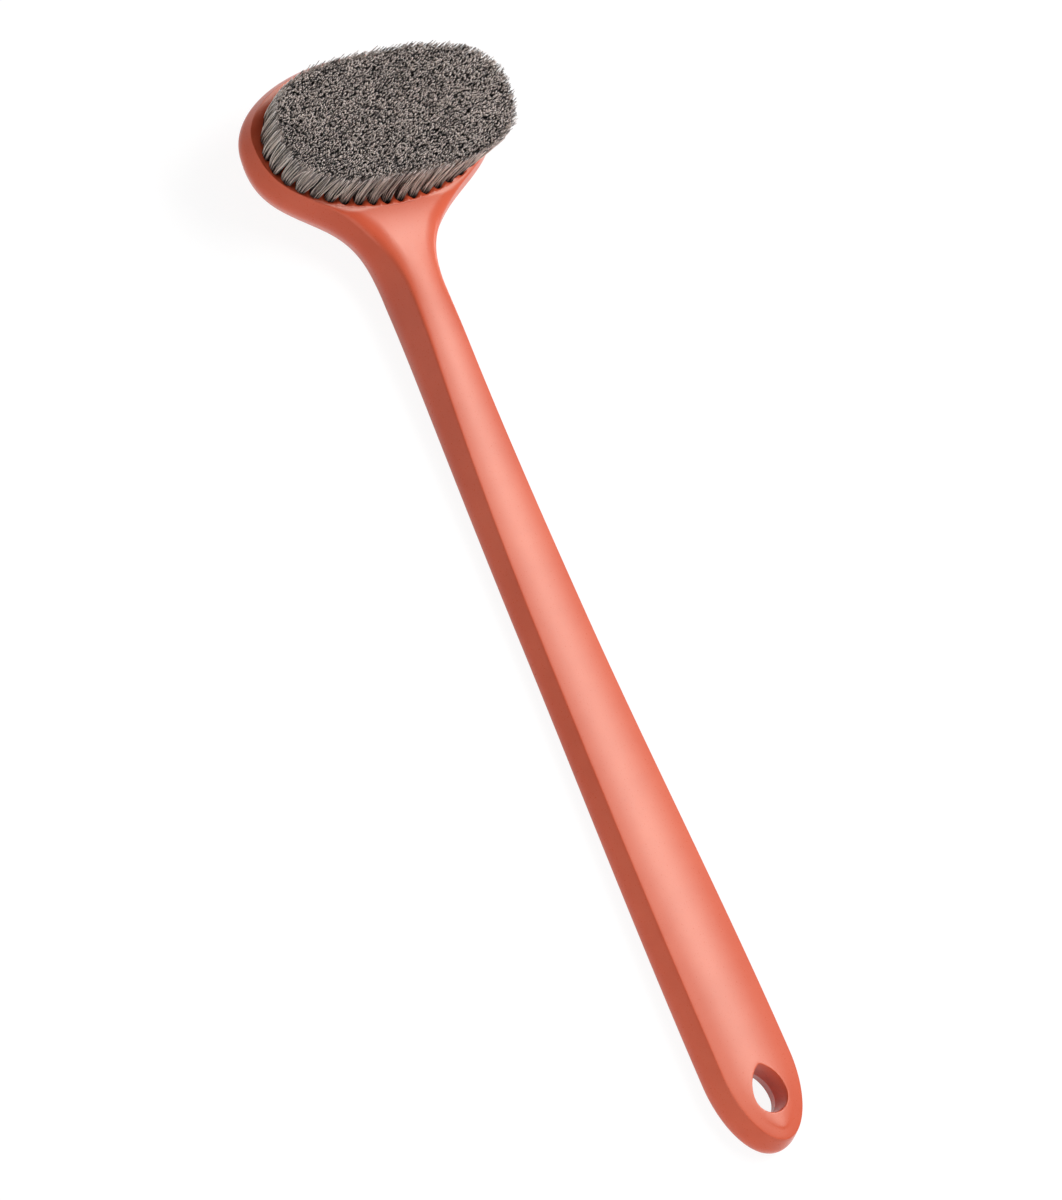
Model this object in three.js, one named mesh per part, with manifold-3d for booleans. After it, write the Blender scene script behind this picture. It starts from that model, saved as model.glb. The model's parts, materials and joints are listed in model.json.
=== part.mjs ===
// Bath brush in millimetres, +Z up: it lies on the flat back of its handle, head towards +Y, bristles up
import * as THREE from "three";
import { ParametricGeometry } from "three/addons/geometries/ParametricGeometry.js";
import { mergeVertices } from "three/addons/utils/BufferGeometryUtils.js";
import Module from "manifold-3d";

const wasm = await Module();
wasm.setup();
const { lerp, smoothstep, degToRad } = THREE.MathUtils;

// Outline seen from above. A place is a distance along the brush from the tip of the handle.
const overallLength = 400;
const endHalfWidth = 16.4;
const endPlace = 29;
const gripHalfWidth = 12.7;
const gripPlace = 191;
const gripTaper = 0.02;
const neckHalfWidth = 9.3;
const neckToField = 30.1;
const headRim = 3.7;
const cheekShift = 5.1;
const crestRim = 4.3;

// How far each curve of the outline runs straight on from its ends
const endRoundness = 0.55;
const endPull = 58;
const gripPull = 50;
const neckPull = 22;
const flarePull = 38;
const cheekPull = 31;
const crestRoundness = 0.56;

// Outline seen from the side
const endThickness = 12.4;
const gripFullness = 13.9;
const neckThickness = 20.3;
const headTilt = degToRad(8.2);
const bendShift = 10;
const bendBlend = 14;

// Edge of the cross-section, on the handle and on the head
const flareBlend = 28;
const frontDraft = { handle: 2.4, head: 2.2 };
const backDraft = { handle: 1, head: 3.5 };
const backDome = { handle: 0, head: 3 };
const partingShare = { handle: 0.36, head: 0.52 };
const frontRound = { handle: 2.6, head: 1.6 };
const sideRound = { handle: 2.4, head: 3 };
const backRound = { handle: 3.2, head: 4 };
const crownShare = 0.07;
const domeReach = 38;

// Hanging hole: a round bowl under a pointed arch that closes towards the head, with a parting ridge inside
const holePlace = 17.95;
const holeRadius = 6.0;
const holeArchReach = 10.1;
const holeApexRadius = 0.7;
const holeEdgeRound = 0.4;
const holeDraft = { front: 0.3, back: 1.2 };
const holeRidgeShare = 0.4;

// Layers and fits
const skinWall = 2;
const sleeveWall = 2;
const clearance = 0.3;

// Tuft field on the head, its block, and the wires behind the block
const fieldHalfWidth = 46.5;
const fieldHalfLength = 25.3;
const blockMargin = 0.3;
const blockDepth = 5;
const blockProud = 0.1;
const paddleReach = 4;
const paddleFloor = 1.9;
const seatLand = 1.2;
const wireThickness = 0.8;

// Bristles, in oval rings round a middle row
const ringCount = 4;
const outerTufts = 40;
const rowTufts = 8;
const tuftHoleRadius = 1.6;
const bristleHeight = 16.9;
const tipWidening = 0.7;
const tipShortening = 3;
const tipShift = 2.3;
const tipFullness = 2.7;
const tipGap = 0.6;
const bandHeight = 4;

// Sizes and places that follow from the ones above
const headHalfWidth = fieldHalfWidth + headRim;
const fieldPlace = overallLength - crestRim - fieldHalfLength;
const headPlace = fieldPlace + cheekShift;
const neckPlace = fieldPlace - fieldHalfLength - neckToField;
const bendPlace = neckPlace + bendShift;
const headSlope = Math.tan(headTilt);
const layers = blockDepth + wireThickness + paddleFloor + skinWall + 3 * clearance;
const crestThickness = layers + backDome.head;
const tipHalfWidth = fieldHalfWidth + tipWidening;
const tipHalfLength = fieldHalfLength - tipShortening;
const rootStep = fieldHalfLength / (ringCount + 0.5);
const tipStep = tipHalfLength / (ringCount + 0.5);
const tuftRadius = tuftHoleRadius - clearance;
const rowHalfLength = fieldHalfWidth - (ringCount + 1) * rootStep;
const blockHalfWidth = fieldHalfWidth + blockMargin;
const blockHalfLength = fieldHalfLength + blockMargin;
const seatHeight = -blockDepth - clearance;
const wireFloor = seatHeight - wireThickness;
const headTop = 2 * bristleHeight;

// Numbers of facets
const outlineSteps = { end: 8, grip: 6, shaft: 6, flare: 14, crest: 10 };
const cornerSteps = 2;
const archSteps = 4;
const apexSteps = 3;
const bowlSteps = 12;
const ovalSides = 36;
const tuftSides = 6;

const coralSoft = new THREE.MeshStandardMaterial({ color: 0xe8836a, roughness: 0.55, metalness: 0 });
const coralPlastic = new THREE.MeshStandardMaterial({ color: 0xe27c63, roughness: 0.45, metalness: 0 });
const corePlastic = new THREE.MeshStandardMaterial({ color: 0xe9e4da, roughness: 0.5, metalness: 0 });
const bristleFibre = new THREE.MeshStandardMaterial({ color: 0x7a716c, roughness: 0.8, metalness: 0 });
const steelWire = new THREE.MeshStandardMaterial({ color: 0xb9bcc0, roughness: 0.35, metalness: 1 });

function at(x, y) {
  return new THREE.Vector2(x, y);
}

// A closed solid from a geometry, with its coincident corners joined and its collapsed triangles dropped
function solid(geometry) {
  const bare = new THREE.BufferGeometry();
  bare.setAttribute("position", geometry.getAttribute("position"));
  bare.setIndex(geometry.getIndex());
  const welded = mergeVertices(bare, 1e-4);
  const corners = welded.getIndex().array;
  const kept = [];
  for (let i = 0; i < corners.length; i += 3) {
    const [a, b, c] = corners.slice(i, i + 3);
    if (a !== b && b !== c && c !== a) kept.push(a, b, c);
  }
  const vertProperties = welded.getAttribute("position").array;
  return new wasm.Manifold(new wasm.Mesh({ numProp: 3, vertProperties, triVerts: new Uint32Array(kept) }));
}

function meshOf(name, shape, material) {
  const { vertProperties, triVerts } = shape.getMesh();
  const geometry = new THREE.BufferGeometry();
  geometry.setAttribute("position", new THREE.BufferAttribute(vertProperties, 3));
  geometry.setIndex(new THREE.BufferAttribute(triVerts, 1));
  const faceted = geometry.toNonIndexed();
  faceted.computeVertexNormals();
  const mesh = new THREE.Mesh(faceted, material);
  mesh.name = name;
  return mesh;
}

// A surface through closed rings of points, which all hold the same number of points
function through(rings) {
  const around = rings[0].length;
  const surface = (u, v, target) => {
    const ring = rings[Math.round(u * (rings.length - 1))];
    target.copy(ring[Math.round((1 - v) * around) % around]);
  };
  return new ParametricGeometry(surface, rings.length - 1, around);
}

// Half of the outline, from the tip of the handle round to the crest of the head
function outlineCurves() {
  const end = at(endHalfWidth, endPlace);
  const grip = at(gripHalfWidth, gripPlace);
  const neck = at(neckHalfWidth, neckPlace);
  const cheek = at(headHalfWidth, headPlace);
  const crest = at(0, overallLength);
  const taper = at(-gripTaper * gripPull, gripPull);
  const controls = [
    [at(0, 0), at(endRoundness * endHalfWidth, 0), at(endHalfWidth, (1 - endRoundness) * endPlace), end],
    [end, at(endHalfWidth, endPlace + endPull), grip.clone().sub(taper), grip],
    [grip, grip.clone().add(taper), at(neckHalfWidth, neckPlace - neckPull), neck],
    [neck, at(neckHalfWidth, neckPlace + flarePull), at(headHalfWidth, headPlace - cheekPull), cheek],
    [cheek, at(headHalfWidth, lerp(headPlace, overallLength, crestRoundness)),
      at(crestRoundness * headHalfWidth, overallLength), crest],
  ];
  return controls.map((points) => new THREE.CubicBezierCurve(...points));
}

// Points along the half outline, each with the direction that faces out of it
function outlineStations() {
  const curves = outlineCurves();
  const steps = Object.values(outlineSteps);
  const stationAt = (curve, t) => {
    const ahead = curve.getTangent(t);
    return { point: curve.getPoint(t), outward: at(ahead.y, -ahead.x) };
  };
  const stations = curves.flatMap((curve, i) =>
    Array.from({ length: steps[i] }, (_, k) => stationAt(curve, k / steps[i])),
  );
  return [...stations, stationAt(curves.at(-1), 1)];
}

// How much of the head's cross-section a place has: none on the handle, all of it on the head
function headShare(place) {
  return smoothstep(place, neckPlace, neckPlace + flareBlend);
}

// Height of the front line: one curve along the handle, then the tilted plane of the head
const handleFront = new THREE.CubicBezierCurve(
  at(0, endThickness),
  at(neckPlace / 3, gripFullness),
  at((2 * neckPlace) / 3, neckThickness - (headSlope * neckPlace) / 3),
  at(neckPlace, neckThickness),
);

function frontHeight(place) {
  if (place > neckPlace) return neckThickness + headSlope * (place - neckPlace);
  return handleFront.getPoint(place / neckPlace).y;
}

// Height of the back line: flat along the handle, then bending up behind the head to the crest's thickness
function backHeight(place) {
  const bend = (past) => (past * past) / (past + bendBlend);
  const crestBack = frontHeight(overallLength) - crestThickness;
  return (crestBack * bend(Math.max(place - bendPlace, 0))) / bend(overallLength - bendPlace);
}

// A corner rounded from the cut distance on each side of it, or from near the middle of a short side
function roundedCorner(before, corner, after, cut) {
  const towards = (end) => corner.clone().lerp(end, Math.min(cut / corner.distanceTo(end), 0.49));
  return new THREE.QuadraticBezierCurve(towards(before), corner, towards(after)).getPoints(cornerSteps);
}

// Edge of the cross-section from the front face round to the back, as an inset and a share of the thickness
function edgeProfile(place) {
  const share = headShare(place);
  const mixed = (pair) => lerp(pair.handle, pair.head, share);
  const thickness = frontHeight(place) - backHeight(place);
  const dome = mixed(backDome);
  const front = at(mixed(frontDraft), thickness);
  const side = at(0, lerp(dome, thickness, mixed(partingShare)));
  const back = at(mixed(backDraft), dome);
  const inwards = at(2 * mixed(backRound), 0);
  const edge = [
    ...roundedCorner(front.clone().add(inwards), front, side, mixed(frontRound)),
    ...roundedCorner(front, side, back, mixed(sideRound)),
    ...roundedCorner(side, back, back.clone().add(inwards), mixed(backRound)),
  ];
  const widest = Math.min(...edge.map((point) => point.x));
  return edge.map((point) => ({ inset: point.x - widest, share: point.y / thickness }));
}

// One closed ring of the body at a station, moved inwards by the depth of a layer
function bodyRing({ point, outward }, depth) {
  const share = headShare(point.y);
  const edge = edgeProfile(point.y).map((step) => {
    const moved = point.clone().addScaledVector(outward, -step.inset - depth);
    const low = backHeight(moved.y) + depth;
    const high = frontHeight(moved.y) - depth;
    return new THREE.Vector3(Math.max(moved.x, 0), moved.y, lerp(low, high, step.share));
  });
  const front = edge[0];
  const back = edge.at(-1);
  const crown = crownShare * front.x * (1 - share);
  const sag = lerp(backDome.handle, backDome.head, share) * Math.min(back.x / domeReach, 1);
  const frontAt = (k) => new THREE.Vector3(k * front.x, front.y, front.z + crown * (1 - k * k));
  const backAt = (k) => new THREE.Vector3(k * back.x, back.y, back.z - sag * (1 - smoothstep(k, 0, 1)));
  const half = [frontAt(0.5), ...edge, backAt(0.5)];
  const mirrored = half.map(({ x, y, z }) => new THREE.Vector3(-x, y, z)).reverse();
  return [frontAt(0), ...half, backAt(0), ...mirrored];
}

// The outside of the brush, or a layer at a depth under it
function body(depth) {
  return solid(through(outlineStations().map((station) => bodyRing(station, depth))));
}

// An oval curve: fullness 2 is an ellipse, and more is fuller at the corners
class OvalCurve extends THREE.Curve {
  constructor(halfWidth, halfLength, fullness = 2, shift = 0) {
    super();
    Object.assign(this, { halfWidth, halfLength, fullness, shift });
  }

  getPoint(t, target = at(0, 0)) {
    const turn = 2 * Math.PI * t;
    const full = (value) => Math.sign(value) * Math.abs(value) ** (2 / this.fullness);
    const [across, along] = [full(Math.cos(turn)), full(Math.sin(turn))];
    return target.set(this.halfWidth * across, this.shift + this.halfLength * along);
  }
}

function oval(halfWidth, halfLength, fullness, shift) {
  return new OvalCurve(halfWidth, halfLength, fullness, shift).getPoints(ovalSides).slice(0, -1);
}

// The block's outline, grown outwards
function blockOval(grown) {
  return oval(blockHalfWidth + grown, blockHalfLength + grown);
}

function prism(outline, low, high, holes = []) {
  const shape = new THREE.Shape(outline);
  shape.holes = holes.map((hole) => new THREE.Path(hole));
  const options = { depth: high - low, bevelEnabled: false };
  return new THREE.ExtrudeGeometry(shape, options).translate(0, 0, low);
}

// Frame of the head: its origin is the middle of the tuft field on the front plane
const headFrame = new THREE.Matrix4().makeRotationX(headTilt);
headFrame.setPosition(0, fieldPlace, frontHeight(fieldPlace));

function headCutter(outline, low) {
  return solid(prism(outline, low, headTop).applyMatrix4(headFrame));
}

// Outline of the hanging hole, grown outwards: a half circle, an arc up from each of its ends to the point where
// the two would meet, and a small circle inside them that rounds that point
function dropOutline(grown) {
  const archRadius = (holeRadius ** 2 + holeArchReach ** 2) / (2 * holeRadius);
  const archCentre = archRadius - holeRadius;
  const apexRise = Math.sqrt((archRadius - holeApexRadius) ** 2 - archCentre ** 2);
  const lean = Math.atan2(apexRise, archCentre);
  const arc = (x, rise, radius, from, to, steps) => {
    const reach = radius + grown;
    const curve = new THREE.EllipseCurve(x, holePlace + rise, reach, reach, from, to);
    return curve.getPoints(steps).slice(0, -1);
  };
  return [
    ...arc(-archCentre, 0, archRadius, 0, lean, archSteps),
    ...arc(0, apexRise, holeApexRadius, lean, Math.PI - lean, apexSteps),
    ...arc(archCentre, 0, archRadius, Math.PI - lean, Math.PI, archSteps),
    ...arc(0, 0, holeRadius, Math.PI, 2 * Math.PI, bowlSteps),
  ];
}

// The hanging hole as a cutter: widest at its rounded edges, narrowest at the parting ridge
function hangingHole() {
  const top = frontHeight(holePlace);
  const edge = [0, 30, 60, 90].map(degToRad).map((turn) => ({
    depth: holeEdgeRound * (1 - Math.sin(turn)),
    flare: holeEdgeRound * (1 - Math.cos(turn)),
  }));
  const backEdge = edge.map(({ depth, flare }) => ({ height: depth, grown: holeDraft.back + flare })).reverse();
  const frontEdge = edge.map(({ depth, flare }) => ({ height: top - depth, grown: holeDraft.front + flare }));
  const ridge = { height: holeRidgeShare * top, grown: 0 };
  const below = { height: -skinWall, grown: backEdge[0].grown };
  const above = { height: top + skinWall, grown: frontEdge.at(-1).grown };
  const rings = [below, ...backEdge, ridge, ...frontEdge, above].map(({ height, grown }) =>
    dropOutline(grown).map(({ x, y }) => new THREE.Vector3(x, y, height)),
  );
  const cap = ({ height }) => rings[0].map(() => new THREE.Vector3(0, holePlace, height));
  return solid(through([cap(below), ...rings, cap(above)]));
}

// Room round the hole, out to a wall beyond its flare
function sleeve(wall) {
  return solid(prism(dropOutline(holeDraft.back + wall), -skinWall, frontHeight(holePlace) + skinWall));
}

// Soft skin over the whole brush, open at the head for the tuft block
function softTouchSkin() {
  const cavity = body(skinWall)
    .subtract(headCutter(blockOval(paddleReach - clearance), seatHeight + clearance))
    .subtract(sleeve(sleeveWall));
  return body(0)
    .subtract(cavity)
    .subtract(headCutter(blockOval(clearance), wireFloor))
    .subtract(hangingHole());
}

// Stiff core: a bar in the handle, an eye round the hanging hole and a paddle that carries the block
function handleCore() {
  return body(skinWall + clearance)
    .subtract(headCutter(blockOval(paddleReach), seatHeight))
    .subtract(headCutter(blockOval(-seatLand), wireFloor - clearance))
    .subtract(sleeve(sleeveWall + clearance));
}

// Middle line of one ring of tufts, at the roots and at the tips
function rootRing(ring) {
  const reach = (ring + 0.5) * rootStep;
  return new OvalCurve(fieldHalfWidth - reach, fieldHalfLength - reach);
}

function tipRing(ring) {
  const reach = (ring + 0.5) * tipStep;
  return new OvalCurve(tipHalfWidth - reach, tipHalfLength - reach, tipFullness, tipShift);
}

// Root and tip of every tuft in a ring, evenly spaced, and of every tuft in the middle row
function ringTufts(ring) {
  const count = Math.round((outerTufts * rootRing(ring).getLength()) / rootRing(0).getLength());
  const tips = tipRing(ring).getSpacedPoints(count);
  return rootRing(ring).getSpacedPoints(count).slice(0, -1).map((root, i) => ({ root, tip: tips[i] }));
}

function middleTufts() {
  return Array.from({ length: rowTufts }, (_, i) => {
    const x = lerp(-rowHalfLength, rowHalfLength, i / (rowTufts - 1));
    return { root: at(x, 0), tip: at(x, tipShift) };
  });
}

const rings = Array.from({ length: ringCount }, (_, ring) => ringTufts(ring));
const tipRoom = Math.min(tipStep, tipRing(0).getLength() / outerTufts);
const tipRadius = (tipRoom - tipGap) / 2;

// A tuft from its root behind the block to its tips, leaning from its hole to its place among the tips
function tuft({ root, tip }, topRadius, topHeight) {
  const profile = [
    at(0, -blockDepth),
    at(tuftRadius, -blockDepth),
    at(tuftRadius, blockProud),
    at(topRadius, topHeight),
    at(0, topHeight),
  ];
  const geometry = new THREE.LatheGeometry(profile, tuftSides, Math.PI / 2).rotateX(Math.PI / 2);
  const points = geometry.getAttribute("position");
  for (let i = 0; i < points.count; i += 1) {
    const rise = Math.max(points.getZ(i) - blockProud, 0) / (topHeight - blockProud);
    points.setX(i, points.getX(i) + lerp(root.x, tip.x, rise));
    points.setY(i, points.getY(i) + lerp(root.y, tip.y, rise));
  }
  return solid(geometry);
}

// A ring of tips, grown outwards
function tipOval({ halfWidth, halfLength }, grown) {
  return oval(halfWidth + grown, halfLength + grown, tipFullness, tipShift);
}

// Tufts whose spread tips close up into one band
function joinedTufts(tufts, outline, holes) {
  const band = prism(outline, bristleHeight - bandHeight, bristleHeight, holes);
  return tufts
    .map((place) => tuft(place, tuftRadius, bristleHeight - bandHeight / 2))
    .reduce((joined, next) => joined.add(next), solid(band));
}

function tuftRing(ring) {
  const middle = tipRing(ring);
  return joinedTufts(rings[ring], tipOval(middle, tipRadius), [tipOval(middle, -tipRadius)]);
}

function tuftRow() {
  return joinedTufts(middleTufts(), tipOval(tipRing(ringCount - 1), -tipRadius - tipGap), []);
}

// Plate that the tufts stand in, drilled through at every root
function tuftBlock() {
  const bore = ({ x, y }) => new THREE.EllipseCurve(x, y, tuftHoleRadius, tuftHoleRadius);
  const holes = [...rings.flat(), ...middleTufts()].map(({ root }) =>
    bore(root).getPoints(tuftSides).slice(0, -1),
  );
  return solid(prism(blockOval(0), -blockDepth, blockProud, holes));
}

// Wire behind the block under the folded roots of one ring, or of the middle row
function ringWire(ring) {
  const { halfWidth, halfLength } = rootRing(ring);
  const half = wireThickness / 2;
  const outside = oval(halfWidth + half, halfLength + half);
  return solid(prism(outside, wireFloor, seatHeight, [oval(halfWidth - half, halfLength - half)]));
}

function rowWire() {
  const length = 2 * (rowHalfLength + tuftRadius);
  const bar = new THREE.BoxGeometry(length, wireThickness, wireThickness);
  return solid(bar.translate(0, 0, (wireFloor + seatHeight) / 2));
}

const head = new THREE.Group();
headFrame.decompose(head.position, head.quaternion, head.scale);
head.add(meshOf("tuft_block", tuftBlock(), coralPlastic));
rings[0].forEach((place, i) => {
  const name = `tuft_${String(i + 1).padStart(2, "0")}`;
  head.add(meshOf(name, tuft(place, tipRadius, bristleHeight), bristleFibre));
});
for (let ring = 1; ring < ringCount; ring += 1) {
  head.add(meshOf(`tuft_ring_${ring + 1}`, tuftRing(ring), bristleFibre));
}
head.add(meshOf("tuft_middle_row", tuftRow(), bristleFibre));
for (let ring = 0; ring < ringCount; ring += 1) {
  head.add(meshOf(`anchor_wire_${ring + 1}`, ringWire(ring), steelWire));
}
head.add(meshOf("anchor_wire_middle", rowWire(), steelWire));

const bathBrush = new THREE.Group();
bathBrush.position.y = -overallLength / 2;
bathBrush.add(meshOf("soft_touch_skin", softTouchSkin(), coralSoft));
bathBrush.add(meshOf("handle_core", handleCore(), corePlastic));
bathBrush.add(head);

const part = new THREE.Group();
part.add(bathBrush);

export default part;
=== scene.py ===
# Bath brush: a coral soft-touch handle and head with a dense field of grey bristles
# Row frame in metres, +Z up: the brush lies on the back of its handle with its head towards +Y
import json
import bpy
import numpy as np
from mathutils import Matrix
from mathutils.geometry import delaunay_2d_cdt

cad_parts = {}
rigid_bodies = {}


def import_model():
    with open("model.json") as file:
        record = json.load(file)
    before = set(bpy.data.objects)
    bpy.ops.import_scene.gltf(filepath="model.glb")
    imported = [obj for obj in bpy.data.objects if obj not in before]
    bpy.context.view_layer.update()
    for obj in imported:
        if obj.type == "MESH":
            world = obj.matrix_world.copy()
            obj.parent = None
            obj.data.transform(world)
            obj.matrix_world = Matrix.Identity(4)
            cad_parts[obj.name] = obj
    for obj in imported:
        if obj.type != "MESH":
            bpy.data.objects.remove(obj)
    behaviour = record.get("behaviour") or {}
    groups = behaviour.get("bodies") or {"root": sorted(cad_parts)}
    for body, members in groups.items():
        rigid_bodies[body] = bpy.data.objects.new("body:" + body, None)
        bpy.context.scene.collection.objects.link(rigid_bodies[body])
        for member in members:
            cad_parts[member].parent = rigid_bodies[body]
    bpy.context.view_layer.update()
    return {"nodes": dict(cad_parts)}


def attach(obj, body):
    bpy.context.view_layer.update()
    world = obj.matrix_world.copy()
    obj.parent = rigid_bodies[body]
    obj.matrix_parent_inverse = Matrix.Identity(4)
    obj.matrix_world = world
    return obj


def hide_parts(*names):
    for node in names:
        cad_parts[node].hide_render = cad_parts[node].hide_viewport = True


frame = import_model()
mm = 0.001
tiny = 1e-6                             # keeps a divisor from zero, and is the tolerance of the triangulation
print("frame loaded:", len(frame["nodes"]), "nodes")


# sRGB hex to linear red, green, blue and alpha
def hexColour(code):
    srgb = np.array([int(code[i:i + 2], 16) for i in (1, 3, 5)]) / 255
    linear = np.where(srgb <= 0.04045, srgb / 12.92, ((srgb + 0.055) / 1.055) ** 2.4)
    return (*linear.tolist(), 1.0)


# One node with its settings; an input is a value or the socket that feeds it, and each stop of a colour ramp
# is a place and a hex code
def addNode(tree, kind, inputs=None, stops=(), **settings):
    node = tree.nodes.new(kind)
    for name, value in settings.items():
        setattr(node, name, value)
    for name, value in (inputs or {}).items():
        if isinstance(value, bpy.types.NodeSocket):
            tree.links.new(value, node.inputs[name])
        else:
            node.inputs[name].default_value = value
    elements = node.color_ramp.elements if stops else ()
    while len(elements) < len(stops):
        elements.new(0.5)
    for element, (place, code) in zip(elements, stops):
        element.position = place
        element.color = hexColour(code)
    return node


# A material with an empty node tree
def newMaterial(name):
    material = bpy.data.materials.new(name)
    material.use_nodes = True
    tree = material.node_tree
    tree.nodes.clear()
    return material, tree


# Pattern scale for features of a size in millimetres, on Object coordinates in metres
def perSize(millimetres):
    return 1 / (millimetres * mm)


def addObject(name, data):
    item = bpy.data.objects.new(name, data)
    bpy.context.scene.collection.objects.link(item)
    return item


# Turns an object to three axes and moves it to a place
def setPlace(item, right, up, back, place):
    columns = np.column_stack([right, up, back, place])
    item.matrix_world = Matrix([*columns.tolist(), [0, 0, 0, 1]])


# Camera

view = {
    "position": (-0.7049, -0.2709, 1.0907),
    "right": (0.8151, -0.3903, 0.4281),
    "up": (0.2321, 0.8971, 0.3759),
    "lens": 117.0,                      # 3900 px over the 1200 px height of the picture
    "sensor": 36.0,
    "clip": (0.05, 30.0),
}


# Camera from its place and two axes; the third is their cross product
def placeCamera():
    data = bpy.data.cameras.new("photoView")
    data.lens = view["lens"]
    data.sensor_width = view["sensor"]
    data.clip_start, data.clip_end = view["clip"]
    camera = addObject("photoView", data)
    setPlace(camera, view["right"], view["up"], np.cross(view["right"], view["up"]), view["position"])
    bpy.context.scene.camera = camera


placeCamera()
print("camera placed")


# Meshes from arrays

weldSteps = 1e4                         # per millimetre


# Points that round to the same tenth of a micron become one
def weld(points, faces):
    keys = np.round(points * weldSteps).astype(np.int64)
    first, place = np.unique(keys, axis=0, return_index=True, return_inverse=True)[1:]
    return points[first], place.reshape(-1)[faces]


# Whole quads, and triangles for the quads with two corners in one place
def splitCollapsed(quads):
    same = quads == np.roll(quads, -1, axis=1)
    whole = quads[same.sum(1) == 0]
    pinched = same.sum(1) == 1
    return whole, quads[pinched][~same[pinched]].reshape(-1, 3)


# Faces between the rows of a grid of point numbers, turned over on request
def gridFaces(numbers, wrap=False, flip=False):
    if wrap:
        numbers = np.concatenate([numbers, numbers[:, :1]], axis=1)
    quads = np.stack([numbers[:-1, :-1], numbers[:-1, 1:], numbers[1:, 1:], numbers[1:, :-1]], axis=-1)
    quads = quads.reshape(-1, 4)
    return quads[:, ::-1] if flip else quads


# Points and quads of several grids of points, (grid, wrap, flip), numbered from a count on
def stackGrids(grids, count=0):
    points = []
    faces = []
    for grid, wrap, flip in grids:
        numbers = count + np.arange(grid[..., 0].size).reshape(grid.shape[:2])
        points.append(grid.reshape(-1, 3))
        faces.append(gridFaces(numbers, wrap, flip))
        count += numbers.size
    return np.concatenate(points), np.concatenate(faces)


# Flat places with one height for all of them
def atHeight(flat, height):
    return np.column_stack([flat, np.full(len(flat), height)])


# A mesh object at the origin from points in millimetres and groups of faces; all faces of a group have the
# same number of corners
def makePiece(name, points, faceGroups, material, sharpAngle=None):
    corners = np.concatenate([group.ravel() for group in faceGroups])
    sizes = np.concatenate([np.full(len(group), group.shape[1]) for group in faceGroups])
    mesh = bpy.data.meshes.new(name)
    mesh.vertices.add(len(points))
    mesh.vertices.foreach_set("co", (points * mm).ravel().astype(np.float32))
    mesh.loops.add(len(corners))
    mesh.loops.foreach_set("vertex_index", corners.astype(np.int32))
    mesh.polygons.add(len(sizes))
    mesh.polygons.foreach_set("loop_start", (np.cumsum(sizes) - sizes).astype(np.int32))
    mesh.update(calc_edges=True)
    mesh.polygons.foreach_set("use_smooth", np.ones(len(sizes), bool))
    if sharpAngle:
        mesh.set_sharp_from_angle(angle=np.radians(sharpAngle))
    mesh.materials.append(material)
    return addObject(name, mesh)


# Ties a piece to the root body and hides the nodes that it stands for; the slot is not used
def dress(piece, slot, *nodes):
    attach(piece, "root")
    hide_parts(*nodes)


# Shape of the body, in millimetres. A place is a distance along the brush from the tip of the handle.
body = {
    "length": 400.0,
    "end": (16.4, 29.0),                # half width and place of the widest part of the end
    "grip": (12.7, 191.0),
    "gripTaper": 0.02,
    "neck": (9.3, 315.0),
    "cheek": (50.2, 375.5),             # widest part of the head
    "endRoundness": 0.55,
    "endPull": 58.0,
    "gripPull": 50.0,
    "neckPull": 22.0,
    "flarePull": 38.0,
    "cheekPull": 31.0,
    "crestRoundness": 0.56,
    "endThickness": 12.4,
    "gripFullness": 13.9,
    "neckThickness": 20.3,
    "headTilt": np.radians(8.2),
    "dish": (2.0, (294.0, 332.0), (332.0, 345.7)),  # depth; where it sinks, and where it rises again
    "bendPlace": 325.0,
    "bendBlend": 14.0,
    "crestThickness": 13.6,
    "flareBlend": 28.0,
    "frontDraft": (2.4, 2.2),           # on the handle, on the head
    "backDraft": (1.0, 3.5),
    "backDome": (0.0, 3.0),
    "partingShare": (0.36, 0.52),
    "bevel": (                          # places, and widths there
        (0, 250, 275, 290, 308, 321, 329, 336, 343, 347, 354),
        (0.6, 0.4, 0.5, 0.7, 1.2, 2.0, 3.2, 3.6, 2.2, 0.9, 0.1),
    ),
    "bevelSlope": 0.3,
    "frontRound": (
        (0, 45, 110, 170, 250, 300, 318, 329, 338, 346, 354),
        (3.6, 3.4, 2.0, 1.2, 0.9, 0.9, 1.3, 1.9, 1.8, 0.7, 0.5),
    ),
    "sideRound": (2.4, 3.0),
    "backRound": (3.2, 4.0),
    "crownShare": 0.07,
    "domeReach": 38.0,
    "stations": (56, 90, 60, 90, 64),   # along each curve of the half outline
    "cornerSteps": 8,
    "columns": 28,                      # across the front and the back
    "ringRows": 14,                     # between a hole and the edge around it
    "holedTo": 47.0,                    # the end's faces run round the hole up to this place
    "headFrom": 338.0,                  # the head's front runs round the block from this place
    "cutLimit": 0.49,                   # a rounded corner takes up no more of a side than this share
    "sharpAngle": 32,
}
hole = {
    "place": 17.95,
    "radius": 6.0,
    "archReach": 10.1,
    "apexRadius": 0.7,
    "edgeRound": 0.4,
    "frontDraft": 0.3,
    "backDraft": 1.2,
    "ridgeShare": 0.4,
    "edgeSteps": 5,
    "wallSteps": (0.35, 0.7, 0.97, 1.0),    # close together at the ridge, which stays crisp
    "arcSteps": (60, 40, 120),          # along a side, the apex and the half circle
    "centreRise": 2.0,                  # from the half circle's centre to the point that the rings run round
}
field = {
    "halfWidth": 46.5,
    "halfLength": 25.3,
    "place": 370.4,
    "margin": 0.3,
    "clearance": 0.3,
    "seam": 0.02,                       # hairline between the block and the skin
    "depth": 5.0,
    "proud": 0.02,
    "pocketSides": 720,
}
headSlope = np.tan(body["headTilt"])
rowShift = np.array([0.0, -body["length"] / 2, 0.0])


# Straight blend from a to b by a share
def mix(a, b, share):
    return a + (b - a) * share


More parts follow.
